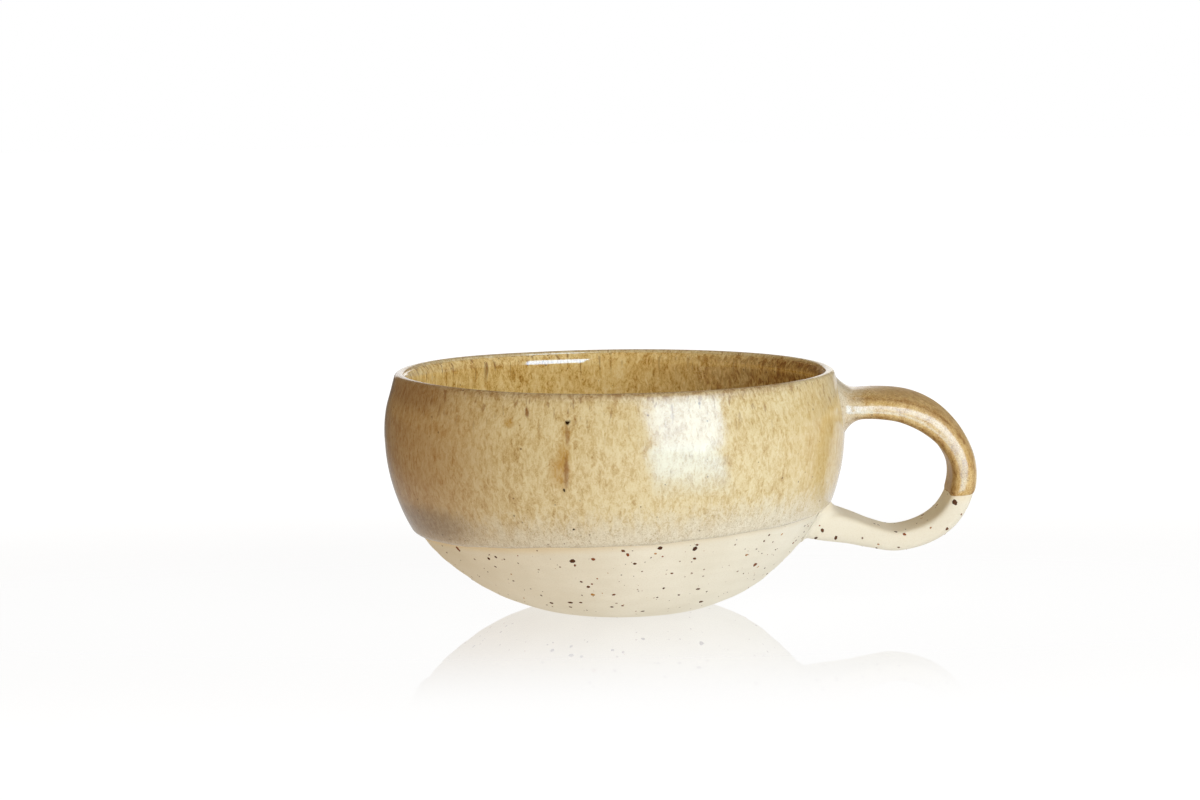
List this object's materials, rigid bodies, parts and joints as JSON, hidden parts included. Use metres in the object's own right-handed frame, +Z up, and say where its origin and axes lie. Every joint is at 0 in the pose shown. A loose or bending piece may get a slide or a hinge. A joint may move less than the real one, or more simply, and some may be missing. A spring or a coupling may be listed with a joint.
{
  "type": "cappuccino cup",
  "caption": "Low round stoneware cup with an in-curved lip, a flat foot and a pulled strap loop handle, glazed above a sloping dip line and bare speckled clay below, for holding a hot drink.",
  "frame": {"origin": "middle of the flat foot, on the surface that the cup stands on", "axes": "+Z up along the bowl's axis, +X from that axis towards the handle"},
  "size_m": [0.1345, 0.1046, 0.0531],
  "materials": {
    "stoneware": "bare fired clay, matt, cream with brown iron specks",
    "glaze": "satin honey-tan glaze, streaked and mottled, browner at thin edges and paler above the dip line"
  },
  "bodies": {
    "root": {"bowl": "stoneware", "handle": "stoneware", "upper_slip_joint": "stoneware", "lower_slip_joint": "stoneware", "outside_glaze": "glaze", "inside_glaze": "glaze", "handle_glaze": "glaze"}
  },
  "joints": []
}
